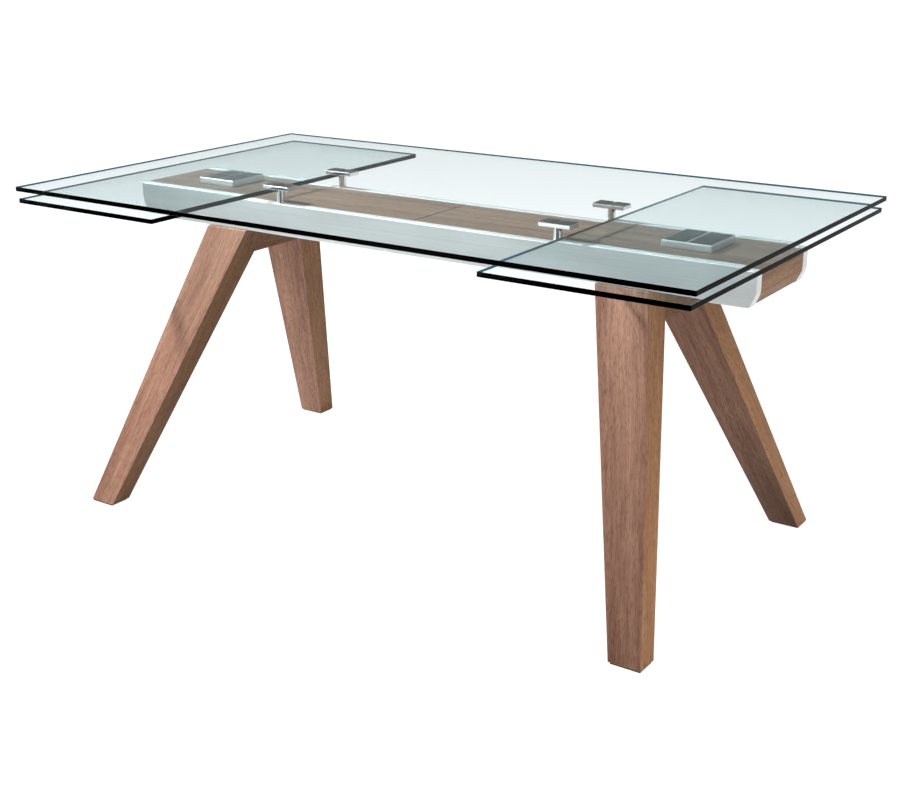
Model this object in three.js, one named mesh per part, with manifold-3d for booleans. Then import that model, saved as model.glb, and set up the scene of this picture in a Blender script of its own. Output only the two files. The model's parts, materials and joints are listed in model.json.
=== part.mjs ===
// Extendable dining table, in millimetres, +Z up.
// The origin is on the floor under the middle of the table. +X runs along its length.
// "near" is the -Y side, "far" is the +Y side, "left" is the -X end, "right" is the +X end.
import * as THREE from 'three';
import { mergeVertices } from 'three/addons/utils/BufferGeometryUtils.js';
import Module from 'manifold-3d';

// Overall sizes
const TABLE_LENGTH = 1640;
const TABLE_WIDTH = 940;
const TABLE_HEIGHT = 750;
const GLASS_THICKNESS = 10;
const GLASS_EDGE_BEVEL = 0.8;
const GLASS_CORNER_RADIUS = 3;
const GAP = 0.3;

// Leaf glass, stored under the main glass
const LEAF_TOP = 724.5;
const LEAF_INNER_X = 400;
const LEAF_OUTER_X = 812;

// Beam: two steel rails with the walnut carriages between them
const BEAM_TOP = 699;
const BEAM_BOTTOM = 633;
const BEAM_HALF_LENGTH = 783;
const RAIL_OUTER_Y = 125;
const RAIL_THICKNESS = 23;
const RAIL_INNER_Y = RAIL_OUTER_Y - RAIL_THICKNESS;
const END_CHAMFER_START_Z = 660;
const END_CHAMFER_DEPTH = 11.5;
const END_CORNER_ROUNDING = 6;
const METAL_BEVEL = 1;

// Plates that tie the rails together at the bottom of the beam
const TIE_THICKNESS = 5;
const LEG_TIE_INNER_X = 445;
const LEG_TIE_OUTER_X = 578;
const CENTRE_TIE_HALF_LENGTH = 60;

// Carriages
const PANEL_HALF_WIDTH = 100.5;
const PANEL_THICKNESS = 18;
const PANEL_UNDERSIDE = BEAM_TOP - PANEL_THICKNESS;
const CENTRE_SEAM_HALF_WIDTH = 1.4;
const END_BOARD_BOTTOM = 637;
const END_BOARD_INNER_X = 757;
const RUNNER_OUTER_Y = 89;
const RUNNER_THICKNESS = 16;
const RUNNER_BOTTOM = 645;
const RUNNER_INNER_X = 8;
const CLEAT_THICKNESS = 18;
const CLEAT_BOTTOM = 655;

// Telescopic runners between the rails and the carriages
const SLIDE_INNER_X = 296;
const SLIDE_OUTER_X = 756;
const SLIDE_CENTRE_Z = 662;
// Each member: distance of its web and of its lips from the rail, half height, sheet thickness.
const SLIDE_MEMBERS = {
  outer: { webFrom: 0.3, lipTo: 11, halfHeight: 18, sheet: 1.4 },
  middle: { webFrom: 4, lipTo: 10, halfHeight: 14.5, sheet: 1.4 },
  inner: { webFrom: 12.7, lipTo: 7, halfHeight: 11, sheet: 1.4 },
};

// T-shaped glass supports on the rails
const SUPPORT_X = 358;
const SUPPORT_Y = 111;
const SUPPORT_STEM_RADIUS = 9;
const SUPPORT_HEAD_BOTTOM = 730;
const SUPPORT_HEAD_TOP = 738.7;
const SUPPORT_HEAD_LENGTH = 73;
const SUPPORT_HEAD_WIDTH = 36;
const SUPPORT_PAD_LENGTH = 31;
const SUPPORT_PAD_WIDTH = 34;
const SUPPORT_PAD_OFFSET = 19;
const PAD_TOP_CLEARANCE = 0.3;

// Leaf support blocks on the carriages
const BLOCK_X = 607;
const BLOCK_LENGTH = 106;
const BLOCK_WIDTH = 110;
const BLOCK_TOP = 713.2;
const BLOCK_PAD_LENGTH = 46;
const BLOCK_PAD_WIDTH = 104;
const BLOCK_PAD_OFFSET = 26.5;

// Legs: straight boards, leaning outwards along and across the table
const LEG_FOOT = { innerX: 658, outerX: 727, innerY: 362, outerY: 415 };
const LEG_TOP = { innerX: 452, outerX: 570, innerY: 53, outerY: 129 };
const BRIDGE_BOTTOM = 573;
const FOOT_PAD_THICKNESS = 3;
const FOOT_PAD_INSET = 3;

const wasm = await Module();
wasm.setup();

const LOOKS = {
  clearGlass: { color: 0xcfe3df, roughness: 0.05, metalness: 0 },
  brushedSteel: { color: 0xc4c8c9, roughness: 0.35, metalness: 1 },
  polishedSteel: { color: 0xd4d6d8, roughness: 0.15, metalness: 1 },
  platedSteel: { color: 0x9fa3a3, roughness: 0.45, metalness: 1 },
  blackPad: { color: 0x26282a, roughness: 0.7, metalness: 0 },
  legWalnut: { color: 0x8a6049, roughness: 0.55, metalness: 0 },
  panelWalnut: { color: 0x7f5a41, roughness: 0.5, metalness: 0 },
  runnerWood: { color: 0x4d3a2d, roughness: 0.65, metalness: 0 },
};

const table = new THREE.Group();
table.name = 'extendable_dining_table';

function addPiece(name, geometry, look) {
  const mesh = new THREE.Mesh(geometry, new THREE.MeshStandardMaterial(LOOKS[look]));
  mesh.name = name;
  table.add(mesh);
}

// A block between two corners.
function blockBetween(low, high) {
  const geometry = new THREE.BoxGeometry(high[0] - low[0], high[1] - low[1], high[2] - low[2]);
  geometry.translate((low[0] + high[0]) / 2, (low[1] + high[1]) / 2, (low[2] + high[2]) / 2);
  return geometry;
}

// A plate lying flat, with rounded corners and bevelled upper and lower edges.
function bevelledPlate(low, high, cornerRadius, bevel) {
  const halfX = (high[0] - low[0]) / 2;
  const halfY = (high[1] - low[1]) / 2;
  const shape = new THREE.Shape();
  shape.moveTo(-halfX + cornerRadius, -halfY);
  shape.lineTo(halfX - cornerRadius, -halfY);
  shape.quadraticCurveTo(halfX, -halfY, halfX, -halfY + cornerRadius);
  shape.lineTo(halfX, halfY - cornerRadius);
  shape.quadraticCurveTo(halfX, halfY, halfX - cornerRadius, halfY);
  shape.lineTo(-halfX + cornerRadius, halfY);
  shape.quadraticCurveTo(-halfX, halfY, -halfX, halfY - cornerRadius);
  shape.lineTo(-halfX, -halfY + cornerRadius);
  shape.quadraticCurveTo(-halfX, -halfY, -halfX + cornerRadius, -halfY);
  const geometry = new THREE.ExtrudeGeometry(shape, {
    depth: high[2] - low[2] - 2 * bevel,
    bevelEnabled: true,
    bevelThickness: bevel,
    bevelSize: bevel,
    bevelOffset: -bevel,
    bevelSegments: 1,
    curveSegments: 4,
  });
  geometry.translate((low[0] + high[0]) / 2, (low[1] + high[1]) / 2, low[2] + bevel);
  return geometry;
}

// A side profile in X and Z, extruded across the table from lowY to highY.
function profileAcross(shape, lowY, highY, bevel) {
  const geometry = new THREE.ExtrudeGeometry(shape, {
    depth: highY - lowY - 2 * bevel,
    bevelEnabled: bevel > 0,
    bevelThickness: bevel,
    bevelSize: bevel,
    bevelOffset: -bevel,
    bevelSegments: 1,
    curveSegments: 4,
  });
  geometry.rotateX(Math.PI / 2);
  geometry.translate(0, highY - bevel, 0);
  return geometry;
}

// An end profile in Y and Z, extruded along the table from lowX to highX.
function profileAlong(points, lowX, highX) {
  const shape = new THREE.Shape(points.map(([y, z]) => new THREE.Vector2(y, z)));
  const geometry = new THREE.ExtrudeGeometry(shape, { depth: highX - lowX, bevelEnabled: false });
  const turn = new THREE.Matrix4().makeBasis(
    new THREE.Vector3(0, 1, 0),
    new THREE.Vector3(0, 0, 1),
    new THREE.Vector3(1, 0, 0),
  );
  geometry.applyMatrix4(turn);
  geometry.translate(lowX, 0, 0);
  return geometry;
}

// A straight tapered piece between a lower and an upper rectangle.
function taperedBlock(lower, upper) {
  const ring = (r) => [
    [r.x[0], r.y[0], r.z],
    [r.x[1], r.y[0], r.z],
    [r.x[1], r.y[1], r.z],
    [r.x[0], r.y[1], r.z],
  ];
  const corners = [...ring(lower), ...ring(upper)];
  const faces = [
    [3, 2, 1, 0],
    [4, 5, 6, 7],
    [0, 1, 5, 4],
    [1, 2, 6, 5],
    [2, 3, 7, 6],
    [3, 0, 4, 7],
  ];
  const positions = [];
  for (const [a, b, c, d] of faces) {
    for (const corner of [a, b, c, a, c, d]) {
      positions.push(...corners[corner]);
    }
  }
  const geometry = new THREE.BufferGeometry();
  geometry.setAttribute('position', new THREE.Float32BufferAttribute(positions, 3));
  geometry.computeVertexNormals();
  return geometry;
}

function toManifold(geometry) {
  const bare = geometry.clone();
  bare.deleteAttribute('normal');
  bare.deleteAttribute('uv');
  const merged = mergeVertices(bare, 1e-4);
  const mesh = new wasm.Mesh({
    numProp: 3,
    vertProperties: new Float32Array(merged.attributes.position.array),
    triVerts: new Uint32Array(merged.index.array),
  });
  return new wasm.Manifold(mesh);
}

function joined(first, second) {
  const mesh = toManifold(first).add(toManifold(second)).getMesh();
  const indexed = new THREE.BufferGeometry();
  indexed.setAttribute('position', new THREE.Float32BufferAttribute(mesh.vertProperties, 3));
  indexed.setIndex([...mesh.triVerts]);
  const geometry = indexed.toNonIndexed();
  geometry.computeVertexNormals();
  return geometry;
}

// Low and high limits of a span between two distances, on one side of the table's middle.
function spanOnSide(side, nearest, farthest) {
  return side < 0 ? [-farthest, -nearest] : [nearest, farthest];
}

const ENDS = [['left', -1], ['right', 1]];
const SIDES = [['near', -1], ['far', 1]];

// Main glass
addPiece('main_top_glass', bevelledPlate(
  [-TABLE_LENGTH / 2, -TABLE_WIDTH / 2, TABLE_HEIGHT - GLASS_THICKNESS],
  [TABLE_LENGTH / 2, TABLE_WIDTH / 2, TABLE_HEIGHT],
  GLASS_CORNER_RADIUS,
  GLASS_EDGE_BEVEL,
), 'clearGlass');

// Rails: one profile for both, with chamfered and rounded lower corners at each end
function railShape() {
  const end = BEAM_HALF_LENGTH;
  const lowerEnd = end - END_CHAMFER_DEPTH;
  const slope = Math.hypot(END_CHAMFER_DEPTH, END_CHAMFER_START_Z - BEAM_BOTTOM);
  const alongX = (END_CHAMFER_DEPTH / slope) * END_CORNER_ROUNDING;
  const alongZ = ((END_CHAMFER_START_Z - BEAM_BOTTOM) / slope) * END_CORNER_ROUNDING;
  const shape = new THREE.Shape();
  shape.moveTo(-end, BEAM_TOP);
  shape.lineTo(-end, END_CHAMFER_START_Z + END_CORNER_ROUNDING);
  shape.quadraticCurveTo(-end, END_CHAMFER_START_Z, -end + alongX, END_CHAMFER_START_Z - alongZ);
  shape.lineTo(-lowerEnd - alongX, BEAM_BOTTOM + alongZ);
  shape.quadraticCurveTo(-lowerEnd, BEAM_BOTTOM, -lowerEnd + END_CORNER_ROUNDING, BEAM_BOTTOM);
  shape.lineTo(lowerEnd - END_CORNER_ROUNDING, BEAM_BOTTOM);
  shape.quadraticCurveTo(lowerEnd, BEAM_BOTTOM, lowerEnd + alongX, BEAM_BOTTOM + alongZ);
  shape.lineTo(end - alongX, END_CHAMFER_START_Z - alongZ);
  shape.quadraticCurveTo(end, END_CHAMFER_START_Z, end, END_CHAMFER_START_Z + END_CORNER_ROUNDING);
  shape.lineTo(end, BEAM_TOP);
  return shape;
}

for (const [sideName, side] of SIDES) {
  const [lowY, highY] = spanOnSide(side, RAIL_INNER_Y, RAIL_OUTER_Y);
  addPiece(`${sideName}_rail`, profileAcross(railShape(), lowY, highY, METAL_BEVEL), 'brushedSteel');
}

// Tie plates
for (const [endName, end] of ENDS) {
  const [lowX, highX] = spanOnSide(end, LEG_TIE_INNER_X, LEG_TIE_OUTER_X);
  addPiece(`${endName}_tie_plate`, blockBetween(
    [lowX, -RAIL_INNER_Y + GAP, BEAM_BOTTOM],
    [highX, RAIL_INNER_Y - GAP, BEAM_BOTTOM + TIE_THICKNESS],
  ), 'platedSteel');
}
addPiece('centre_tie_plate', blockBetween(
  [-CENTRE_TIE_HALF_LENGTH, -RAIL_INNER_Y + GAP, BEAM_BOTTOM],
  [CENTRE_TIE_HALF_LENGTH, RAIL_INNER_Y - GAP, BEAM_BOTTOM + TIE_THICKNESS],
), 'platedSteel');

// T-shaped supports under the main glass, each with two pads
for (const [endName, end] of ENDS) {
  for (const [sideName, side] of SIDES) {
    const x = end * SUPPORT_X;
    const y = side * SUPPORT_Y;
    const stemLength = SUPPORT_HEAD_BOTTOM - BEAM_TOP - GAP + 1;
    const stem = new THREE.CylinderGeometry(SUPPORT_STEM_RADIUS, SUPPORT_STEM_RADIUS, stemLength, 40);
    stem.rotateX(Math.PI / 2);
    stem.translate(x, y, BEAM_TOP + GAP + stemLength / 2);
    const head = bevelledPlate(
      [x - SUPPORT_HEAD_LENGTH / 2, y - SUPPORT_HEAD_WIDTH / 2, SUPPORT_HEAD_BOTTOM],
      [x + SUPPORT_HEAD_LENGTH / 2, y + SUPPORT_HEAD_WIDTH / 2, SUPPORT_HEAD_TOP],
      2,
      METAL_BEVEL,
    );
    addPiece(`${endName}_${sideName}_glass_support`, joined(stem, head), 'polishedSteel');
    const padTop = TABLE_HEIGHT - GLASS_THICKNESS - PAD_TOP_CLEARANCE;
    for (const [padName, padSide] of [['inner', -1], ['outer', 1]]) {
      const padX = x + end * padSide * SUPPORT_PAD_OFFSET;
      addPiece(`${endName}_${sideName}_support_pad_${padName}`, bevelledPlate(
        [padX - SUPPORT_PAD_LENGTH / 2, y - SUPPORT_PAD_WIDTH / 2, SUPPORT_HEAD_TOP + GAP],
        [padX + SUPPORT_PAD_LENGTH / 2, y + SUPPORT_PAD_WIDTH / 2, padTop],
        2,
        0.3,
      ), 'blackPad');
    }
  }
}

// Legs and the bridge blocks that join each pair
function legSpanAt(z) {
  const drop = (BEAM_BOTTOM - z) / BEAM_BOTTOM;
  const between = (top, foot) => top + (foot - top) * drop;
  return {
    innerX: between(LEG_TOP.innerX, LEG_FOOT.innerX),
    outerX: between(LEG_TOP.outerX, LEG_FOOT.outerX),
    innerY: between(LEG_TOP.innerY, LEG_FOOT.innerY),
    outerY: between(LEG_TOP.outerY, LEG_FOOT.outerY),
  };
}

for (const [endName, end] of ENDS) {
  const legTopZ = BEAM_BOTTOM - GAP;
  for (const [sideName, side] of SIDES) {
    const rectangleAt = (z) => {
      const span = legSpanAt(z);
      return {
        x: spanOnSide(end, span.innerX, span.outerX),
        y: spanOnSide(side, span.innerY, span.outerY),
        z,
      };
    };
    const footZ = FOOT_PAD_THICKNESS + GAP;
    addPiece(`${endName}_${sideName}_leg`, taperedBlock(rectangleAt(footZ), rectangleAt(legTopZ)), 'legWalnut');
    const foot = legSpanAt(0);
    const [lowX, highX] = spanOnSide(end, foot.innerX + FOOT_PAD_INSET, foot.outerX - FOOT_PAD_INSET);
    const [lowY, highY] = spanOnSide(side, foot.innerY + FOOT_PAD_INSET, foot.outerY - FOOT_PAD_INSET);
    addPiece(`${endName}_${sideName}_foot_pad`, blockBetween(
      [lowX, lowY, 0],
      [highX, highY, FOOT_PAD_THICKNESS],
    ), 'blackPad');
  }
  const bridgeAt = (z) => {
    const span = legSpanAt(z);
    return {
      x: spanOnSide(end, span.innerX, span.outerX),
      y: [-span.innerY + GAP, span.innerY - GAP],
      z,
    };
  };
  addPiece(`${endName}_leg_bridge`, taperedBlock(bridgeAt(BRIDGE_BOTTOM), bridgeAt(legTopZ)), 'legWalnut');
}

// Telescopic runner members: a C-shaped sheet profile whose lips reach across the runner
function slideProfile(member, side) {
  const { webFrom, lipTo, halfHeight, sheet } = member;
  const inwards = Math.sign(lipTo - webFrom);
  const points = [
    [webFrom, -halfHeight],
    [lipTo, -halfHeight],
    [lipTo, -halfHeight + sheet],
    [webFrom + inwards * sheet, -halfHeight + sheet],
    [webFrom + inwards * sheet, halfHeight - sheet],
    [lipTo, halfHeight - sheet],
    [lipTo, halfHeight],
    [webFrom, halfHeight],
  ];
  return points.map(([fromRail, height]) => [side * (RAIL_INNER_Y - fromRail), SLIDE_CENTRE_Z + height]);
}

for (const [endName, end] of ENDS) {
  const [lowX, highX] = spanOnSide(end, SLIDE_INNER_X, SLIDE_OUTER_X);
  for (const [sideName, side] of SIDES) {
    for (const [memberName, member] of Object.entries(SLIDE_MEMBERS)) {
      const geometry = profileAlong(slideProfile(member, side), lowX, highX);
      addPiece(`${endName}_${sideName}_slide_${memberName}`, geometry, 'platedSteel');
    }
  }
}

// Carriages. Each is drawn on the right and mirrored in X for the left.
function carriageProfile(points, end) {
  return new THREE.Shape(points.map(([x, z]) => new THREE.Vector2(end * x, z)));
}

for (const [endName, end] of ENDS) {
  const topPanel = carriageProfile([
    [CENTRE_SEAM_HALF_WIDTH, PANEL_UNDERSIDE],
    [BEAM_HALF_LENGTH - PANEL_THICKNESS, PANEL_UNDERSIDE],
    [BEAM_HALF_LENGTH, BEAM_TOP],
    [CENTRE_SEAM_HALF_WIDTH, BEAM_TOP],
  ], end);
  addPiece(`${endName}_top_panel`, profileAcross(topPanel, -PANEL_HALF_WIDTH, PANEL_HALF_WIDTH, 0), 'panelWalnut');

  const mitreDrop = GAP * Math.SQRT2;
  const lowerEndX = BEAM_HALF_LENGTH - END_CHAMFER_DEPTH;
  const endBoard = carriageProfile([
    [BEAM_HALF_LENGTH, BEAM_TOP - mitreDrop],
    [BEAM_HALF_LENGTH, END_CHAMFER_START_Z],
    [lowerEndX, END_BOARD_BOTTOM],
    [END_BOARD_INNER_X, END_BOARD_BOTTOM],
    [END_BOARD_INNER_X, PANEL_UNDERSIDE - mitreDrop],
    [BEAM_HALF_LENGTH - PANEL_THICKNESS, PANEL_UNDERSIDE - mitreDrop],
  ], end);
  addPiece(`${endName}_end_board`, profileAcross(endBoard, -PANEL_HALF_WIDTH, PANEL_HALF_WIDTH, 0), 'panelWalnut');

  const [runnerLowX, runnerHighX] = spanOnSide(end, RUNNER_INNER_X, END_BOARD_INNER_X - GAP);
  for (const [sideName, side] of SIDES) {
    const [lowY, highY] = spanOnSide(side, RUNNER_OUTER_Y - RUNNER_THICKNESS, RUNNER_OUTER_Y);
    addPiece(`${endName}_${sideName}_runner_board`, blockBetween(
      [runnerLowX, lowY, RUNNER_BOTTOM],
      [runnerHighX, highY, PANEL_UNDERSIDE - GAP],
    ), 'runnerWood');
  }
  const [cleatLowX, cleatHighX] = spanOnSide(end, RUNNER_INNER_X, RUNNER_INNER_X + CLEAT_THICKNESS);
  const cleatHalfWidth = RUNNER_OUTER_Y - RUNNER_THICKNESS - GAP;
  addPiece(`${endName}_back_cleat`, blockBetween(
    [cleatLowX, -cleatHalfWidth, CLEAT_BOTTOM],
    [cleatHighX, cleatHalfWidth, PANEL_UNDERSIDE - GAP],
  ), 'runnerWood');

  const blockX = end * BLOCK_X;
  addPiece(`${endName}_leaf_block`, bevelledPlate(
    [blockX - BLOCK_LENGTH / 2, -BLOCK_WIDTH / 2, BEAM_TOP + GAP],
    [blockX + BLOCK_LENGTH / 2, BLOCK_WIDTH / 2, BLOCK_TOP],
    2,
    METAL_BEVEL,
  ), 'brushedSteel');
  const leafUnderside = LEAF_TOP - GLASS_THICKNESS;
  for (const [padName, padSide] of [['inner', -1], ['outer', 1]]) {
    const padX = blockX + end * padSide * BLOCK_PAD_OFFSET;
    addPiece(`${endName}_leaf_pad_${padName}`, bevelledPlate(
      [padX - BLOCK_PAD_LENGTH / 2, -BLOCK_PAD_WIDTH / 2, BLOCK_TOP + GAP],
      [padX + BLOCK_PAD_LENGTH / 2, BLOCK_PAD_WIDTH / 2, leafUnderside - PAD_TOP_CLEARANCE],
      2,
      0.3,
    ), 'blackPad');
  }
  const [leafLowX, leafHighX] = spanOnSide(end, LEAF_INNER_X, LEAF_OUTER_X);
  addPiece(`${endName}_leaf_glass`, bevelledPlate(
    [leafLowX, -TABLE_WIDTH / 2, leafUnderside],
    [leafHighX, TABLE_WIDTH / 2, LEAF_TOP],
    GLASS_CORNER_RADIUS,
    GLASS_EDGE_BEVEL,
  ), 'clearGlass');
}

export default table;
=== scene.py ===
# %% [markdown]
# # An extendable dining table
# The table has a clear glass top on a steel and walnut beam, which stands on two pairs of splayed
# walnut legs. A glass leaf is stored under each end of the top, on a carriage that slides out of the
# beam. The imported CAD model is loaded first, because every place and size below is read from it.

import json
import math

import bmesh
import bpy
from mathutils import Matrix, Vector


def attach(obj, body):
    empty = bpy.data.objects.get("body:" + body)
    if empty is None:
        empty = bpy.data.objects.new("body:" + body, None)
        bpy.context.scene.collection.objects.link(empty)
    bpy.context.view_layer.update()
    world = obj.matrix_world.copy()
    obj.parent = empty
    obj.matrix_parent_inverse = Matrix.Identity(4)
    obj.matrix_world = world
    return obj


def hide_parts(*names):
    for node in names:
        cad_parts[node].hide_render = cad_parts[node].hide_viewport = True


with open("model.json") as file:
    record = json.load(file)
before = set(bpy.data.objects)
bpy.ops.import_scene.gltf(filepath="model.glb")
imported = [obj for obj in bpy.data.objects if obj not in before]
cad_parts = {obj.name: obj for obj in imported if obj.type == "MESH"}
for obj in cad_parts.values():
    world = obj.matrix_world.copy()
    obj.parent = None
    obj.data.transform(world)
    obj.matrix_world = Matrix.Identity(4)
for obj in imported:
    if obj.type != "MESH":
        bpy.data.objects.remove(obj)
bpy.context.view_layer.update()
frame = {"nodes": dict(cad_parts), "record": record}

# %% [markdown]
# ## Camera
# The table is seen from its near right corner, from above the height of the top. The camera is a
# long lens a good distance away, so the far end of the top is only a little narrower than the near
# end. A turn, a tilt down and a very small roll make its three axes, which fill a rotation matrix.
# That is exact, where aiming at a target would lose the roll.

# %% Place the camera
CAMERA_PLACE = Vector((1.7334, -2.5073, 1.3297))
TURN = math.radians(34.638)
TILT_DOWN = math.radians(19.029)
ROLL = math.radians(-0.296)
LENS_MM = 56.84
SENSOR_MM = 36.0
SHIFT = (0.0089, -0.0027)

ahead = math.cos(TILT_DOWN)
forward = Vector((-math.sin(TURN) * ahead, math.cos(TURN) * ahead, -math.sin(TILT_DOWN)))
level_right = Vector((math.cos(TURN), math.sin(TURN), 0.0))
level_up = level_right.cross(forward)
right = level_right * math.cos(ROLL) + level_up * math.sin(ROLL)
up = level_up * math.cos(ROLL) - level_right * math.sin(ROLL)

camera_data = bpy.data.cameras.new("camera")
camera_data.lens = LENS_MM
camera_data.sensor_width = SENSOR_MM
camera_data.shift_x, camera_data.shift_y = SHIFT
camera = bpy.data.objects.new("camera", camera_data)
bpy.context.collection.objects.link(camera)
turned = Matrix((right, up, -forward)).transposed().to_4x4()
camera.matrix_world = Matrix.Translation(CAMERA_PLACE) @ turned
bpy.context.scene.camera = camera
print("camera at", [round(v, 3) for v in camera.location])

# %% [markdown]
# ## Small tools for shader trees
# A material is a tree of nodes. A few short helpers add a node, give it its values and join its
# sockets, so that each recipe below reads as a list of steps. They could be copied out each time,
# but the steps would be lost among the links. A group helper makes a shared effect with named inputs
# and outputs.

# %% Shader helpers
def add(tree, kind, values=None, **settings):
    """Adds a node; settings are its properties, values fills its input sockets by name or number."""
    node = tree.nodes.new("ShaderNode" + kind)
    for key, value in settings.items():
        setattr(node, key, value)
    for key, value in (values or {}).items():
        node.inputs[key].default_value = value
    return node


def fill(tree, node, values):
    """Fills input sockets by name or number; each value is a number, a colour or a socket."""
    for key, value in values.items():
        if isinstance(value, bpy.types.NodeSocket):
            tree.links.new(value, node.inputs[key])
        else:
            node.inputs[key].default_value = value


def maths(tree, operation, first, second=0.0, third=0.0, clamp=False):
    """A Math node; each of its inputs is a number or a socket."""
    node = add(tree, "Math", operation=operation, use_clamp=clamp)
    fill(tree, node, {0: first, 1: second, 2: third})
    return node.outputs[0]


def stretched(tree, place, by):
    """The place vector multiplied by a different amount along each axis."""
    node = add(tree, "VectorMath", {1: by}, operation="MULTIPLY")
    tree.links.new(place, node.inputs[0])
    return node.outputs["Vector"]


def noise(tree, place, scale=1.0, detail=2.0, roughness=0.5):
    node = add(tree, "TexNoise", {"Scale": scale, "Detail": detail, "Roughness": roughness})
    tree.links.new(place, node.inputs["Vector"])
    return node.outputs["Fac"]


def remapped(tree, value, low, high, new_low=0.0, new_high=1.0):
    """Moves value from one range to another; the ends of the new range may be sockets."""
    node = add(tree, "MapRange", {"From Min": low, "From Max": high})
    fill(tree, node, {"Value": value, "To Min": new_low, "To Max": new_high})
    return node.outputs["Result"]


def blended(tree, factor, first, second):
    """A colour mix; the factor and both colours are values or sockets."""
    node = add(tree, "Mix", data_type="RGBA")
    fill(tree, node, {"Factor": factor, "A": first, "B": second})
    return node.outputs["Result"]


def new_group(name, takes, gives):
    """A shader node group. takes and gives are lists of (name, kind), and takes may add a default."""
    tree = bpy.data.node_groups.new(name, "ShaderNodeTree")
    for label, kind, *default in takes:
        socket = tree.interface.new_socket(label, in_out="INPUT", socket_type="NodeSocket" + kind)
        if default:
            socket.default_value = default[0]
    for label, kind in gives:
        tree.interface.new_socket(label, in_out="OUTPUT", socket_type="NodeSocket" + kind)
    group_in, group_out = tree.nodes.new("NodeGroupInput"), tree.nodes.new("NodeGroupOutput")
    return tree, group_in.outputs, group_out.inputs


def placed(tree, group, values):
    """Puts a group in a tree; each value is a number, a colour or a socket."""
    node = add(tree, "Group", node_tree=group)
    fill(tree, node, values)
    return node


def new_material(name, **sockets):
    """A material with the plain values of its Principled shader set by socket name."""
    material = bpy.data.materials.new(name)
    material.use_nodes = True
    tree = material.node_tree
    shader = tree.nodes["Principled BSDF"]
    for key, value in sockets.items():
        shader.inputs[key.replace("_", " ")].default_value = value
    return material, tree, shader


def bumped(tree, shader, height, strength, distance):
    bump = add(tree, "Bump", {"Strength": strength, "Distance": distance})
    tree.links.new(height, bump.inputs["Height"])
    tree.links.new(bump.outputs["Normal"], shader.inputs["Normal"])


print("shader helpers ready")

# %% [markdown]
# ## Floor
# A real white studio is a sweep of white paper. Here it is one large pale plane that glows a little,
# so it stays white without strong lamps. Three things about it depend on which ray looks, and the
# Light Path node tells them apart. A ray that left a matt surface sees no glow, only a half pale
# floor, because faces that look down should be darker than faces that look up. A ray that left a
# mirror-like surface sees bright and dark strips across the front of the floor, as the panels and
# gaps of a studio would give, and these draw the soft change of light along the steel rail. Every
# other ray, also one that came through a pane, sees even white. From below the floor is open, so
# that the underside of the table can be looked at.

# %% Build the floor
FLOOR_HALF_SIZE = 30.0
FLOOR_SEEN = 0.12
FLOOR_BOUNCE = 0.45
FLOOR_GLOW = 1.02
STRIPS_FROM_X, STRIPS_TO_X = -3.4, 0.2
STRIPS_END_Y, EVEN_FROM_Y = -1.85, -1.4
STRIPS = [
    (0.0, 0.05), (0.27, 0.05), (0.36, 0.4), (0.46, 1.9), (0.56, 1.8), (0.68, 0.4), (0.76, 0.0), (1.0, 0.0),
]


def grey(level):
    return (level, level, level, 1)


def ramp_of_greys(tree, value, stops):
    """A colour ramp whose stops are pairs of a place and a grey level."""
    ramp = add(tree, "ValToRGB")
    while len(ramp.color_ramp.elements) < len(stops):
        ramp.color_ramp.elements.new(1.0)
    for element, (place, level) in zip(ramp.color_ramp.elements, stops):
        element.position = place
        element.color = grey(level)
    tree.links.new(value, ramp.inputs["Fac"])
    return ramp.outputs["Color"]


def make_floor():
    h = FLOOR_HALF_SIZE
    mesh = bpy.data.meshes.new("floor")
    mesh.from_pydata([(-h, -h, 0), (h, -h, 0), (h, h, 0), (-h, h, 0)], [], [(0, 1, 2, 3)])
    floor = bpy.data.objects.new("floor", mesh)
    bpy.context.collection.objects.link(floor)
    material, tree, shader = new_material(
        "pale_floor", Roughness=1.0, Specular_IOR_Level=0.0, Emission_Color=grey(1.0),
    )
    path = add(tree, "LightPath").outputs
    albedo = blended(tree, path["Is Diffuse Ray"], grey(FLOOR_SEEN), grey(FLOOR_BOUNCE))
    tree.links.new(albedo, shader.inputs["Base Color"])
    place = add(tree, "SeparateXYZ")
    tree.links.new(add(tree, "TexCoord").outputs["Object"], place.inputs["Vector"])
    across = remapped(tree, place.outputs["X"], STRIPS_FROM_X, STRIPS_TO_X)
    strips = ramp_of_greys(tree, across, STRIPS)
    in_mirror = remapped(tree, place.outputs["Y"], STRIPS_END_Y, EVEN_FROM_Y, strips, FLOOR_GLOW)
    mirrored = maths(tree, "SUBTRACT", path["Is Glossy Ray"], path["Is Transmission Ray"], clamp=True)
    glow = remapped(tree, mirrored, 0.0, 1.0, FLOOR_GLOW, in_mirror)
    glow = remapped(tree, path["Is Diffuse Ray"], 0.0, 1.0, glow, 0.0)
    tree.links.new(glow, shader.inputs["Emission Strength"])
    open_below = add(tree, "MixShader")
    tree.links.new(add(tree, "NewGeometry").outputs["Backfacing"], open_below.inputs[0])
    tree.links.new(shader.outputs["BSDF"], open_below.inputs[1])
    tree.links.new(add(tree, "BsdfTransparent").outputs["BSDF"], open_below.inputs[2])
    tree.links.new(open_below.outputs["Shader"], tree.nodes["Material Output"].inputs["Surface"])
    material.cycles.emission_sampling = "NONE"
    mesh.materials.append(material)


make_floor()
print("floor", 2 * FLOOR_HALF_SIZE, "m wide")

# %% [markdown]
# ## Sky
# The sky is dim near the horizon and brighter overhead. A pane at a shallow angle mirrors the low
# sky, so a dim horizon keeps that pale sheen weak and what lies under the glass stays clear. A plain
# white sky would be simpler, but it would cloud the glass. Behind the table the sky has to be white
# all the same, so rays from the camera see a white backdrop, directly or through panes, and a ray
# that has bounced off anything sees the true sky.

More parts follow.
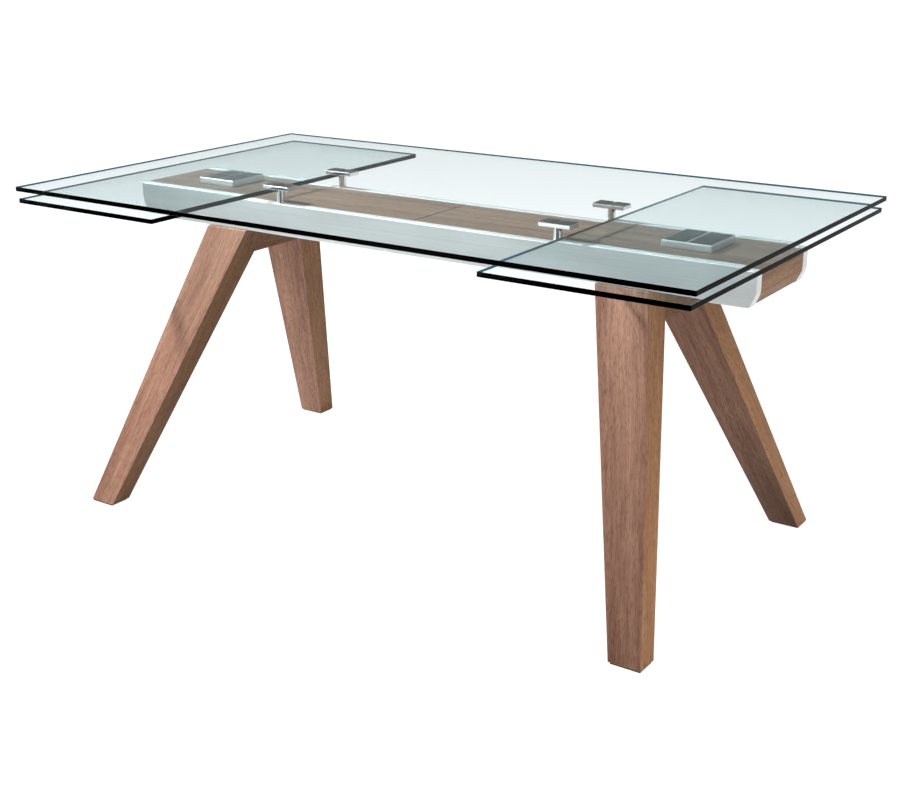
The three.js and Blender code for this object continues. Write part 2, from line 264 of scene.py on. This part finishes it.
# %% Build the sky
HORIZON_LIGHT, OVERHEAD_LIGHT = 0.24, 0.40
HORIZON_TOP, OVERHEAD_START = 0.3, 0.65
BACKDROP = 1.14


def make_sky():
    world = bpy.data.worlds.new("studio_sky")
    world.use_nodes = True
    bpy.context.scene.world = world
    tree = world.node_tree
    height = add(tree, "SeparateXYZ")
    tree.links.new(add(tree, "TexCoord").outputs["Generated"], height.inputs["Vector"])
    sky = remapped(tree, height.outputs["Z"], HORIZON_TOP, OVERHEAD_START, HORIZON_LIGHT, OVERHEAD_LIGHT)
    path = add(tree, "LightPath").outputs
    direct = maths(tree, "ADD", path["Is Camera Ray"], path["Is Transmission Ray"])
    direct = maths(tree, "SUBTRACT", direct, path["Diffuse Depth"])
    direct = maths(tree, "SUBTRACT", direct, path["Glossy Depth"])
    strength = remapped(tree, direct, 0.0, 1.0, sky, BACKDROP)
    tree.links.new(strength, tree.nodes["Background"].inputs["Strength"])
    tree.nodes["Background"].inputs["Color"].default_value = grey(1.0)


make_sky()
print("sky", bpy.context.scene.world.name)

# %% [markdown]
# ## Lights
# Two broad suns stand in for large soft lamps. A smaller lamp hangs above and beyond the left end and
# draws the crossing shadows of the glass edges and of the supports on the beam. A third sun could do
# that too, but its shadows would all run parallel, where a near lamp's spread apart. The lamp has
# some width, so its shadows are crisp on the beam and soft on the legs far below.

# %% Hang the lights
LAMP_PLACE = Vector((-2.4, -0.9, 3.0))
LAMP_POWER = 900.0
LAMP_RADIUS = 0.12
SUNS = [
    ("front_sun", Vector((0.50, 0.85, -0.70)), 0.6, 40.0),
    ("side_sun", Vector((-0.60, 0.35, -0.80)), 0.45, 50.0),
]


def make_light(name, kind, energy):
    data = bpy.data.lights.new(name, kind)
    data.energy = energy
    light = bpy.data.objects.new(name, data)
    bpy.context.collection.objects.link(light)
    return light


lamp = make_light("key_lamp", "POINT", LAMP_POWER)
lamp.data.shadow_soft_size = LAMP_RADIUS
lamp.location = LAMP_PLACE
for sun_name, travels, energy, spread in SUNS:
    sun = make_light(sun_name, "SUN", energy)
    sun.data.angle = math.radians(spread)
    sun.rotation_mode = "QUATERNION"
    sun.rotation_quaternion = travels.to_track_quat("-Z", "Y")
bpy.context.scene.view_settings.view_transform = "Standard"
print("lights", lamp.name, [values[0] for values in SUNS])

# %% [markdown]
# ## Walnut figure
# Walnut shows long soft bands of tone, finer streaks inside them, and short dark pores that all run
# with the grain. A flat picture of a board could be wrapped round each piece, but its grain would not
# turn the corner. Here three noises are stretched along the board in three dimensions, as in a solid
# piece of timber, so that each face shows a true cut through the same grain. The first number of
# each stretch is along the grain. The group reads a vector called board, which holds the place
# along, across and through the board.

# %% Build the walnut group
WANDER_STRETCH, WANDER = (2.2, 7, 7), 0.05
BAND_STRETCH, BAND_STRENGTH = (1.3, 26, 26), 0.62
STREAK_STRETCH, STREAK_STRENGTH = (12, 190, 190), 0.55
PORE_STRETCH = (70, 600, 600)


def make_walnut_group():
    tree, takes, gives = new_group(
        "walnut_figure",
        [("Board", "Vector"), ("Pale", "Color"), ("Deep", "Color"), ("Pore", "Color"),
         ("Band Contrast", "Float", 1.0), ("Pore Depth", "Float", 0.5)],
        [("Color", "Color"), ("Roughness", "Float"), ("Height", "Float")],
    )
    board = takes["Board"]
    wander = maths(tree, "SUBTRACT", noise(tree, stretched(tree, board, WANDER_STRETCH), detail=1), 0.5)
    shift = add(tree, "CombineXYZ")
    tree.links.new(maths(tree, "MULTIPLY", wander, WANDER), shift.inputs["Y"])
    warped = add(tree, "VectorMath", operation="ADD")
    fill(tree, warped, {0: board, 1: shift.outputs["Vector"]})
    grain = warped.outputs["Vector"]
    bands = noise(tree, stretched(tree, grain, BAND_STRETCH), detail=3, roughness=0.55)
    bands = remapped(tree, bands, 0.32, 0.68)
    streaks = noise(tree, stretched(tree, grain, STREAK_STRETCH), detail=4, roughness=0.65)
    streaks = remapped(tree, streaks, 0.3, 0.7)
    pores = noise(tree, stretched(tree, grain, PORE_STRETCH), detail=3, roughness=0.7)
    pores = remapped(tree, pores, 0.49, 0.66)
    contrast = maths(tree, "MULTIPLY", maths(tree, "SUBTRACT", bands, 0.5), takes["Band Contrast"])
    band_tone = maths(tree, "MULTIPLY_ADD", contrast, BAND_STRENGTH, 0.5)
    streak_tone = maths(tree, "MULTIPLY", maths(tree, "SUBTRACT", streaks, 0.5), STREAK_STRENGTH)
    tone = maths(tree, "ADD", band_tone, streak_tone, clamp=True)
    wood = blended(tree, tone, takes["Deep"], takes["Pale"])
    pore_mask = maths(tree, "MULTIPLY", pores, takes["Pore Depth"])
    tree.links.new(blended(tree, pore_mask, wood, takes["Pore"]), gives["Color"])
    lacquer = maths(tree, "MULTIPLY_ADD", tone, -0.1, 0.52)
    tree.links.new(maths(tree, "MULTIPLY_ADD", pores, 0.2, lacquer), gives["Roughness"])
    tree.links.new(maths(tree, "SUBTRACT", maths(tree, "MULTIPLY", streaks, 0.4), pores), gives["Height"])
    return tree


WALNUT_FIGURE = make_walnut_group()
print("group", WALNUT_FIGURE.name)

# %% [markdown]
# ## Brushed lines, handling marks, edge wear and painted edge shade
# Brushed steel carries thousands of fine scratches in one direction, which spread reflections across
# them. Every surface that hands touch also has faint cloudy marks, which change only its roughness.
# Edges are where a finish rubs through first. The walnut panels use the same edge effect for a painted
# shade instead, which darkens their edges and the gap between them. Each of these effects is used by
# several materials, so each is one group, and a material sets how strong it is.

# %% Build the shared surface groups
def make_brushed_group():
    tree, takes, gives = new_group(
        "brushed_lines",
        [("Place", "Vector"), ("Fineness", "Vector", (2.0, 620.0, 620.0)),
         ("Smoothest", "Float", 0.25), ("Roughest", "Float", 0.45)],
        [("Tone", "Float"), ("Roughness", "Float"), ("Height", "Float")],
    )
    fine = add(tree, "VectorMath", operation="MULTIPLY")
    fill(tree, fine, {0: takes["Place"], 1: takes["Fineness"]})
    lines = noise(tree, fine.outputs["Vector"], detail=4, roughness=0.6)
    patches = noise(tree, stretched(tree, takes["Place"], (6, 22, 22)), detail=3)
    spread = maths(tree, "SUBTRACT", takes["Roughest"], takes["Smoothest"])
    amount = maths(tree, "MULTIPLY_ADD", lines, 0.6, maths(tree, "MULTIPLY", patches, 0.4))
    tree.links.new(maths(tree, "MULTIPLY_ADD", amount, spread, takes["Smoothest"]), gives["Roughness"])
    tree.links.new(lines, gives["Height"])
    from_middle = maths(tree, "SUBTRACT", amount, 0.5)
    tree.links.new(maths(tree, "MULTIPLY_ADD", from_middle, 0.6, 1.0), gives["Tone"])
    return tree


def make_marks_group():
    tree, takes, gives = new_group(
        "handling_marks",
        [("Place", "Vector"), ("Size", "Float", 9.0), ("Clean", "Float", 0.0), ("Marked", "Float", 0.1)],
        [("Mask", "Float"), ("Roughness", "Float")],
    )
    sized = add(tree, "VectorMath", operation="SCALE")
    fill(tree, sized, {0: takes["Place"], "Scale": takes["Size"]})
    mask = remapped(tree, noise(tree, sized.outputs["Vector"], detail=5, roughness=0.6), 0.45, 0.75)
    span = maths(tree, "SUBTRACT", takes["Marked"], takes["Clean"])
    tree.links.new(mask, gives["Mask"])
    tree.links.new(maths(tree, "MULTIPLY_ADD", mask, span, takes["Clean"]), gives["Roughness"])
    return tree


def make_edge_group():
    tree, takes, gives = new_group(
        "edge_wear_and_painted_shade",
        [("Edge", "Float"), ("Place", "Vector"), ("Color", "Color"), ("Worn", "Color"),
         ("Amount", "Float", 0.5)],
        [("Color", "Color"), ("Mask", "Float")],
    )
    broken = remapped(tree, noise(tree, takes["Place"], scale=60, detail=3), 0.35, 0.65)
    broken = maths(tree, "MULTIPLY", takes["Edge"], broken)
    mask = maths(tree, "MULTIPLY", broken, takes["Amount"], clamp=True)
    tree.links.new(blended(tree, mask, takes["Color"], takes["Worn"]), gives["Color"])
    tree.links.new(mask, gives["Mask"])
    return tree


BRUSHED_LINES = make_brushed_group()
HANDLING_MARKS = make_marks_group()
EDGE_WEAR_AND_PAINTED_SHADE = make_edge_group()
print("groups", BRUSHED_LINES.name, HANDLING_MARKS.name, EDGE_WEAR_AND_PAINTED_SHADE.name)

# %% [markdown]
# ## Wood finishes
# The legs have a rosy brown walnut veneer on their broad faces and a straight-grained strip on their
# narrow faces. The strip comes in two copies. A lit copy, pale golden, goes on the faces that look right
# at the right end, where the side light falls. A shaded copy, darker brown, goes on all the others. Both
# are painted light and shade on the strip's own colour. The carriage panels are a little greyer and the
# end boards a little redder. All have a thin satin lacquer. One recipe makes them, and each finish
# passes in its own colours. Each piece carries its own tone. On the legs the tone is partly the board's
# own colour and partly painted light and shade, set leg by leg against the light each one gets. The
# bridges' tone darkens them, a painted shade under the top. A low value darkens a leg towards its foot,
# a painted shade for the weaker light there.

# %% Make the wood materials
EVEN = grey(1.0)
# The colour a leg's foot is darkened towards: a painted shade for the weaker light near the floor.
PAINTED_FOOT_SHADE = (0.45, 0.42, 0.41, 1)
WOOD_BUMP, WOOD_BUMP_HEIGHT = 0.35, 0.0003


def make_wood(name, pale, deep, pore, edge_wear_and_shade, contrast, pore_depth, edge_amount, rough_shift, foot_shade=EVEN):
    material, tree, shader = new_material(name, Coat_Roughness=0.3, Coat_Weight=0.02, Specular_IOR_Level=0.15)
    board = add(tree, "Attribute", attribute_name="board").outputs["Vector"]
    edge, tone, low = [
        add(tree, "Attribute", attribute_name=kept).outputs["Fac"] for kept in ("edge", "tone", "low")
    ]
    figure = placed(tree, WALNUT_FIGURE, {
        "Board": board, "Pale": pale, "Deep": deep, "Pore": pore,
        "Band Contrast": contrast, "Pore Depth": pore_depth,
    })
    toned = add(tree, "VectorMath", operation="SCALE")
    fill(tree, toned, {0: figure.outputs["Color"], "Scale": tone})
    shaded = add(tree, "Mix", {"Factor": 1.0}, data_type="RGBA", blend_type="MULTIPLY")
    fill(tree, shaded, {"A": toned.outputs["Vector"], "B": blended(tree, low, EVEN, foot_shade)})
    rubbed_and_shaded = placed(tree, EDGE_WEAR_AND_PAINTED_SHADE, {
        "Edge": edge, "Place": board, "Color": shaded.outputs["Result"], "Worn": edge_wear_and_shade, "Amount": edge_amount,
    })
    tree.links.new(rubbed_and_shaded.outputs["Color"], shader.inputs["Base Color"])
    roughness = maths(tree, "ADD", figure.outputs["Roughness"], rough_shift)
    tree.links.new(roughness, shader.inputs["Roughness"])
    bumped(tree, shader, figure.outputs["Height"], WOOD_BUMP, WOOD_BUMP_HEIGHT)
    return material


LEG_FACE = make_wood(
    "leg_walnut_face", pale=(0.61, 0.34, 0.23, 1), deep=(0.26, 0.12, 0.078, 1), pore=(0.07, 0.03, 0.02, 1),
    edge_wear_and_shade=(0.55, 0.36, 0.27, 1), contrast=1.0, pore_depth=0.55, edge_amount=0.5, rough_shift=0.0,
    foot_shade=PAINTED_FOOT_SHADE,
)
# The narrow-face strip in two copies. This lit one is pale golden, partly painted light, and the next, shaded
# one is darker brown, painted shade.
LEG_STRIP_PAINTED_LIT = make_wood(
    "leg_strip_painted_lit", pale=(0.97, 0.50, 0.24, 1), deep=(0.50, 0.22, 0.10, 1), pore=(0.13, 0.05, 0.022, 1),
    edge_wear_and_shade=(0.60, 0.36, 0.22, 1), contrast=0.45, pore_depth=0.5, edge_amount=0.4, rough_shift=0.03,
)
LEG_STRIP_PAINTED_SHADE = make_wood(
    "leg_strip_painted_shade", pale=(0.48, 0.245, 0.12, 1), deep=(0.235, 0.106, 0.05, 1),
    pore=(0.06, 0.025, 0.012, 1),
    edge_wear_and_shade=(0.45, 0.28, 0.19, 1), contrast=0.6, pore_depth=0.5, edge_amount=0.4, rough_shift=0.03,
)
# The panel edges are coloured near black: a painted shade that darkens the gap between the two panels, not
# wear.
PANEL_FACE = make_wood(
    "panel_walnut", pale=(0.33, 0.232, 0.172, 1), deep=(0.157, 0.107, 0.078, 1), pore=(0.08, 0.05, 0.034, 1),
    edge_wear_and_shade=(0.09, 0.06, 0.04, 1), contrast=1.0, pore_depth=0.45, edge_amount=0.8, rough_shift=0.0,
)
END_FACE = make_wood(
    "end_walnut", pale=(0.72, 0.385, 0.205, 1), deep=(0.35, 0.177, 0.094, 1), pore=(0.10, 0.05, 0.028, 1),
    edge_wear_and_shade=(0.50, 0.33, 0.21, 1), contrast=0.9, pore_depth=0.4, edge_amount=0.4, rough_shift=0.0,
)
RUNNER_WOOD = make_wood(
    "runner_board", pale=(0.14, 0.095, 0.065, 1), deep=(0.07, 0.045, 0.03, 1), pore=(0.03, 0.02, 0.015, 1),
    edge_wear_and_shade=(0.2, 0.14, 0.1, 1), contrast=0.8, pore_depth=0.5, edge_amount=0.3, rough_shift=0.1,
)
print("wood", [wood.name for wood in (LEG_FACE, LEG_STRIP_PAINTED_LIT, LEG_STRIP_PAINTED_SHADE, PANEL_FACE, END_FACE, RUNNER_WOOD)])

# %% [markdown]
# ## Steel finishes
# The rails and the leaf blocks are stainless steel brushed along the table, and the rails' top faces
# are ground, which is duller. The glass supports are polished, with only a trace of lines. The
# hidden runner parts are zinc plated, which is cloudier. The lines run along X, so their noise is
# stretched along X. A picture of scratches could be wrapped on instead, but it would repeat along a
# rail of this length.

# %% Make the steel materials
WORN_STEEL = (0.86, 0.87, 0.88, 1)
STEEL_EDGE_WEAR = 0.6
LINE_HEIGHT = 0.0001


def make_steel(name, colour, smoothest, roughest, fineness, line_depth, marked):
    material, tree, shader = new_material(name, Metallic=1.0)
    place = add(tree, "TexCoord").outputs["Object"]
    edge = add(tree, "Attribute", attribute_name="edge").outputs["Fac"]
    lines = placed(tree, BRUSHED_LINES, {
        "Place": place, "Fineness": fineness, "Smoothest": smoothest, "Roughest": roughest,
    })
    marks = placed(tree, HANDLING_MARKS, {"Place": place, "Clean": 0.0, "Marked": marked})
    rubbed_and_shaded = placed(tree, EDGE_WEAR_AND_PAINTED_SHADE, {
        "Edge": edge, "Place": place, "Color": colour, "Worn": WORN_STEEL, "Amount": STEEL_EDGE_WEAR,
    })
    toned = add(tree, "VectorMath", operation="SCALE")
    fill(tree, toned, {0: rubbed_and_shaded.outputs["Color"], "Scale": lines.outputs["Tone"]})
    tree.links.new(toned.outputs["Vector"], shader.inputs["Base Color"])
    roughness = maths(tree, "ADD", lines.outputs["Roughness"], marks.outputs["Roughness"])
    tree.links.new(roughness, shader.inputs["Roughness"])
    bumped(tree, shader, lines.outputs["Height"], line_depth, LINE_HEIGHT)
    return material


BRUSHED_STEEL = make_steel(
    "brushed_steel", colour=(0.66, 0.69, 0.69, 1), smoothest=0.32, roughest=0.50,
    fineness=(2.0, 620.0, 620.0), line_depth=0.5, marked=0.05,
)
GROUND_STEEL = make_steel(
    "ground_steel", colour=(0.62, 0.64, 0.64, 1), smoothest=0.62, roughest=0.78,
    fineness=(2.0, 400.0, 400.0), line_depth=0.3, marked=0.05,
)
POLISHED_STEEL = make_steel(
    "polished_steel", colour=(0.74, 0.75, 0.76, 1), smoothest=0.06, roughest=0.16,
    fineness=(8.0, 300.0, 300.0), line_depth=0.1, marked=0.06,
)
PLATED_STEEL = make_steel(
    "plated_steel", colour=(0.52, 0.54, 0.54, 1), smoothest=0.36, roughest=0.55,
    fineness=(20.0, 160.0, 160.0), line_depth=0.15, marked=0.12,
)
print("steel", BRUSHED_STEEL.name, GROUND_STEEL.name, POLISHED_STEEL.name, PLATED_STEEL.name)

# %% [markdown]
# ## Glass
# The panes are clear toughened glass. Through its thickness glass is nearly colourless, so a volume
# that absorbs a little more red than green gives the faint green. At the shallow angle of this view
# real glass would mirror so much of the room that the leaves and the beam under the top became
# cloudy. Its refractive index is about 1.5; a lower one here keeps the mirroring weak and the panes
# clear. A look into an edge passes through almost a metre of glass, so the edge faces read nearly
# black from outside. A denser volume would do that, but it would darken the broad faces as well, so
# the edge faces have their own tint, which is paler when seen from inside the pane.
#
# Light from a lamp can't find its way through refracting glass in a short render, so shadow rays,
# and rays that left a matt surface, pass straight through. At the edge faces they stop, which throws
# the thin dark lines on the beam.

# %% Make the glass materials
GLASS_ABSORBS = (0.0, 0.82, 0.90, 1)
GLASS_DENSITY = 3.4
GLASS_IOR = 1.07
GLASS_MARK_SIZE = 5.0


def make_glass(name, passes, shadow_tint, clean, marked, passes_from_inside=None):
    material, tree, shader = new_material(name, Transmission_Weight=1.0, IOR=GLASS_IOR, Base_Color=passes)
    if passes_from_inside:
        inside = add(tree, "NewGeometry").outputs["Backfacing"]
        tree.links.new(blended(tree, inside, passes, passes_from_inside), shader.inputs["Base Color"])
    place = add(tree, "TexCoord").outputs["Object"]
    marks = placed(tree, HANDLING_MARKS, {
        "Place": place, "Size": GLASS_MARK_SIZE, "Clean": clean, "Marked": marked,
    })
    tree.links.new(marks.outputs["Roughness"], shader.inputs["Roughness"])
    path = add(tree, "LightPath").outputs
    lighting = maths(tree, "ADD", path["Is Shadow Ray"], path["Is Diffuse Ray"], clamp=True)
    clear = add(tree, "BsdfTransparent", {"Color": shadow_tint})
    surface = add(tree, "MixShader")
    fill(tree, surface, {0: lighting, 1: shader.outputs["BSDF"], 2: clear.outputs["BSDF"]})
    body = add(tree, "VolumeAbsorption", {"Color": GLASS_ABSORBS, "Density": GLASS_DENSITY})
    fill(tree, tree.nodes["Material Output"], {
        "Surface": surface.outputs["Shader"], "Volume": body.outputs["Volume"],
    })
    return material


GLASS_FACE = make_glass(
    "clear_glass_face", passes=grey(1.0), shadow_tint=grey(0.95), clean=0.0, marked=0.003,
)
GLASS_EDGE = make_glass(
    "clear_glass_edge", passes=(0.0006, 0.001, 0.0009, 1), shadow_tint=grey(0.0), clean=0.05, marked=0.12,
    passes_from_inside=(0.10, 0.075, 0.06, 1),
)
print("glass", GLASS_FACE.name, GLASS_EDGE.name)

# %% [markdown]
# ## Pads
# Soft dark pads keep the glass off the steel and the feet off the floor. Moulded rubber has a fine
# pebbled skin and picks up pale dust. Modelling each pebble would cost thousands of faces for a pad
# of this size, so a small noise drives a bump, and the handling marks lift the colour a little.

# %% Make the pad materials
DUST_SIZE, DUST_ROUGHENS = 40.0, 0.15
PEBBLE_SCALE, PEBBLE_HEIGHT = 1800, 0.0002


def make_rubber(name, dark, dusty, roughness):
    material, tree, shader = new_material(name, Specular_IOR_Level=0.35)
    place = add(tree, "TexCoord").outputs["Object"]
    marks = placed(tree, HANDLING_MARKS, {
        "Place": place, "Size": DUST_SIZE, "Clean": roughness, "Marked": roughness + DUST_ROUGHENS,
    })
    tree.links.new(blended(tree, marks.outputs["Mask"], dark, dusty), shader.inputs["Base Color"])
    tree.links.new(marks.outputs["Roughness"], shader.inputs["Roughness"])
    bumped(tree, shader, noise(tree, place, scale=PEBBLE_SCALE), 0.3, PEBBLE_HEIGHT)
    return material


GLASS_PAD = make_rubber("glass_pad", (0.022, 0.024, 0.026, 1), (0.05, 0.052, 0.054, 1), 0.45)
FOOT_PAD = make_rubber("foot_pad", (0.018, 0.014, 0.012, 1), (0.06, 0.052, 0.045, 1), 0.6)
print("pads", GLASS_PAD.name, FOOT_PAD.name)

# %% [markdown]
# ## Softened edges
# Nothing made in a workshop has a perfectly sharp corner: boards are sanded, metal is deburred and
# glass is ground. A Bevel modifier could round every piece live, but rounding the mesh in code lets
# each new face be marked as an edge, and the wear, the lighter rims and the painted shade along the
# panel edges follow that mark. The helper starts from the CAD piece, joins its split corners, merges
# its flat triangles into whole faces and rounds the corners inwards. It writes the values that the
# materials read: edge on the rounded faces, and for wood the board vector with tone and low.

# %% Helpers that turn a CAD node into a finished piece
FLAT_ANGLE = math.radians(0.5)
CORNER_ANGLE = math.radians(20)
JOIN_DISTANCE = 1e-6
pieces_made = []


def clean_copy(node):
    mesh = bmesh.new()
    mesh.from_mesh(frame["nodes"][node].data)
    bmesh.ops.remove_doubles(mesh, verts=mesh.verts, dist=JOIN_DISTANCE)
    bmesh.ops.dissolve_limit(mesh, angle_limit=FLAT_ANGLE, verts=mesh.verts, edges=mesh.edges)
    bmesh.ops.recalc_face_normals(mesh, faces=mesh.faces)
    return mesh


def soften(mesh, radius, segments):
    edge_mark = mesh.faces.layers.float.new("edge")
    corners = [e for e in mesh.edges if len(e.link_faces) == 2 and e.calc_face_angle(0) > CORNER_ANGLE]
    rounded = bmesh.ops.bevel(
        mesh, geom=corners, offset=radius, segments=segments, affect="EDGES", profile=0.5,
        clamp_overlap=True,
    )
    for face in rounded["faces"]:
        face[edge_mark] = 1.0
    for face in mesh.faces:
        face.smooth = True


def write_floats(data, name, values):
    layer = data.attributes.new(name, "FLOAT", "POINT")
    for slot, value in zip(layer.data, values):
        slot.value = value


def write_board(data, origin, along, across, offset, tone=1.0, low=0.0):
    """Stores the place along, across and through the board at each vertex.

    tone scales the colour of the whole board; on legs and bridges it is partly painted light and shade. low
    is how strongly its far end is darkened, a painted shade.
    """
    length = along.length
    along = along.normalized()
    across = (across - along * across.dot(along)).normalized()
    through = along.cross(across)
    layer = data.attributes.new("board", "FLOAT_VECTOR", "POINT")
    for vertex, slot in zip(data.vertices, layer.data):
        place = vertex.co - origin
        slot.vector = (place.dot(along) + offset, place.dot(across), place.dot(through) + offset)
    write_floats(data, "tone", [tone] * len(data.vertices))
    write_floats(data, "low", [low * (vertex.co - origin).dot(along) / length for vertex in data.vertices])


def finished(node, materials, radius, segments=2, pick=None, board=None):
    """Replaces a CAD node by a softened piece.

    pick chooses a face's material by number. board holds what write_board takes after the mesh.
    """
    mesh = clean_copy(node)
    soften(mesh, radius, segments)
    if pick:
        mesh.normal_update()
        for face in mesh.faces:
            face.material_index = pick(face)
    data = bpy.data.meshes.new(node + "_finished")
    mesh.to_mesh(data)
    mesh.free()
    if board:
        write_board(data, *board)
    for material in materials:
        data.materials.append(material)
    piece = bpy.data.objects.new(node + "_finished", data)
    bpy.context.collection.objects.link(piece)
    piece.modifiers.new("flat_faces_stay_flat", "WEIGHTED_NORMAL")
    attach(piece, body_holding(node))
    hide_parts(node)
    pieces_made.append(piece.name)
    return piece


def body_holding(node):
    bodies = frame["record"]["behaviour"]["bodies"]
    return next(body for body, nodes in bodies.items() if node in nodes)


ENDS = ("left", "right")
SIDES = ("near", "far")
X_AXIS, Y_AXIS, Z_AXIS = Vector((1, 0, 0)), Vector((0, 1, 0)), Vector((0, 0, 1))

# %% [markdown]
# ## Glass panes
# The top is one pane, and each leaf is a narrower one that is stored under it. The edges are ground
# flat with a small arris above and below. One flat cut makes it, where a rounder edge with more cuts
# would blur the crisp line that it catches. Faces that look up or down are clear, and all the others
# are edge.

# %% Finish the panes
ARRIS = 0.0002
LOOKS_UP_OR_DOWN = 0.9


def glass_part(face):
    return 0 if abs(face.normal.z) > LOOKS_UP_OR_DOWN else 1


for pane in ("main_top_glass", "left_leaf_glass", "right_leaf_glass"):
    finished(pane, [GLASS_FACE, GLASS_EDGE], ARRIS, 1, pick=glass_part)
print("panes", pieces_made[-3:])

# %% [markdown]
# ## Legs
# Each leg is a straight board that tapers towards the floor and leans both along and across the
# table. Its grain follows its own centre line, not the upright, so the board vector is measured
# along a line from the middle of the top to the middle of the foot. Broad faces look across the
# table and narrow faces look along it. Each board starts at its own place in the figure, a step
# further than the last, so that no two pieces show the same grain.

# %% Finish the legs and their bridges
LEG_ROUNDING = 0.0012
BOARD_ROUNDING = 0.0006
NEXT_BOARD = 1.37
LOOKS_ALONG = 0.7
# The bridges are darkened: a painted shade for the shade under the top.
BRIDGE_PAINTED_SHADE = 0.7
# Per leg: a tone, partly the board's own colour and partly painted light and shade set against the light the
# leg gets, and the strength of the painted foot shade.
LEG_TONE_AND_FOOT_SHADE = {
    "left_near": (0.73, 0.25), "left_far": (1.12, 0.3), "right_near": (0.95, 1.0), "right_far": (0.93, 0.7),
}
LEG_WOODS = [LEG_FACE, LEG_STRIP_PAINTED_LIT, LEG_STRIP_PAINTED_SHADE]


def leg_part(face):
    """Broad faces are 0, narrow faces that look right on the right legs 1, the lit copy, and the others 2,
    the shaded copy.
    """
    if abs(face.normal.x) < LOOKS_ALONG:
        return 0
    return 1 if face.normal.x > 0 and face.calc_center_median().x > 0 else 2


SAME_LEVEL = 1e-4


def middle_at(node, top):
    """The middle of a node's upper or lower end."""
    points = [v.co for v in frame["nodes"][node].data.vertices]
    level = max(p.z for p in points) if top else min(p.z for p in points)
    ring = [p for p in points if abs(p.z - level) < SAME_LEVEL]
    low = Vector([min(p[i] for p in ring) for i in range(3)])
    high = Vector([max(p[i] for p in ring) for i in range(3)])
    return (low + high) / 2


board_offset = 0.0
for end in ENDS:
    for side in SIDES:
        leg = f"{end}_{side}_leg"
        head, foot = middle_at(leg, True), middle_at(leg, False)
        board_offset += NEXT_BOARD
        board = (head, foot - head, X_AXIS, board_offset, *LEG_TONE_AND_FOOT_SHADE[f"{end}_{side}"])
        finished(leg, LEG_WOODS, LEG_ROUNDING, 3, leg_part, board)
        finished(f"{end}_{side}_foot_pad", [FOOT_PAD], BOARD_ROUNDING)
    board_offset += NEXT_BOARD
    bridge = f"{end}_leg_bridge"
    board = (middle_at(bridge, True), Y_AXIS, Z_AXIS, board_offset, BRIDGE_PAINTED_SHADE)
    finished(bridge, LEG_WOODS, BOARD_ROUNDING, 2, leg_part, board)
print("legs", [name for name in pieces_made if "leg" in name])

# %% [markdown]
# ## Beam
# Two steel rails run the whole length of the beam, and plates underneath tie them together. The
# rails' lower end corners are cut back at a slant. One steel all over would be simpler, but the top
# faces lie right under the sky and would shine white, so they take the duller ground steel.

# %% Finish the rails and the tie plates
BAR_ROUNDING = 0.0006
LOOKS_UP = 0.5


def rail_part(face):
    return 1 if face.normal.z > LOOKS_UP else 0


for side in SIDES:
    finished(f"{side}_rail", [BRUSHED_STEEL, GROUND_STEEL], BAR_ROUNDING, 2, rail_part)
for plate in ("left", "centre", "right"):
    finished(f"{plate}_tie_plate", [PLATED_STEEL], BAR_ROUNDING)
print("beam", pieces_made[-5:])

# %% [markdown]
# ## Glass supports
# Four T-shaped supports stand on the rails and carry the top on two pads each. They are turned and
# milled, then polished. Stem and head could be two pieces, but the CAD model has them as one, and a
# light rounding of its corners is all they need.

# %% Finish the supports and their pads
SMALL_ROUNDING = 0.0004
PAD_ROUNDING = 0.0003

for end in ENDS:
    for side in SIDES:
        finished(f"{end}_{side}_glass_support", [POLISHED_STEEL], SMALL_ROUNDING)
        for pad in ("inner", "outer"):
            finished(f"{end}_{side}_support_pad_{pad}", [GLASS_PAD], PAD_ROUNDING)
print("supports", len([name for name in pieces_made if "support" in name]))

# %% [markdown]
# ## Carriages
# A carriage is a long shallow drawer turned upside down: a walnut panel on two runner boards, with
# a mitred end board. The leaf rests on two pads on a steel block. The grain runs along the panel,
# and across the table on the end board. Telescopic runners carry the carriage. Every piece rides on
# the body that its CAD node belongs to, so nothing is left behind when a leaf slides out.

# %% Finish the carriages
MIDDLE = Vector((0, 0, 0))
SHEET_ROUNDING = 0.0002
RUNNER_ROUNDING = 0.0008


def finish_board(node, wood, rounding, along, across):
    """A straight board whose grain starts a step further along the figure than the last one's."""
    global board_offset
    board_offset += NEXT_BOARD
    finished(node, [wood], rounding, board=(MIDDLE, along, across, board_offset))


for end in ENDS:
    finish_board(f"{end}_top_panel", PANEL_FACE, SMALL_ROUNDING, X_AXIS, Y_AXIS)
    finish_board(f"{end}_end_board", END_FACE, SMALL_ROUNDING, Y_AXIS, Z_AXIS)
    for side in SIDES:
        runner = f"{end}_{side}_runner_board"
        finish_board(runner, RUNNER_WOOD, RUNNER_ROUNDING, X_AXIS, Z_AXIS)
    finish_board(f"{end}_back_cleat", RUNNER_WOOD, RUNNER_ROUNDING, Y_AXIS, Z_AXIS)
    finished(f"{end}_leaf_block", [BRUSHED_STEEL], SMALL_ROUNDING)
    for pad in ("inner", "outer"):
        finished(f"{end}_leaf_pad_{pad}", [GLASS_PAD], PAD_ROUNDING)
    for side in SIDES:
        for member in ("outer", "middle", "inner"):
            slide = f"{end}_{side}_slide_{member}"
            finished(slide, [PLATED_STEEL], SHEET_ROUNDING, 1)
print("pieces so far", len(pieces_made))
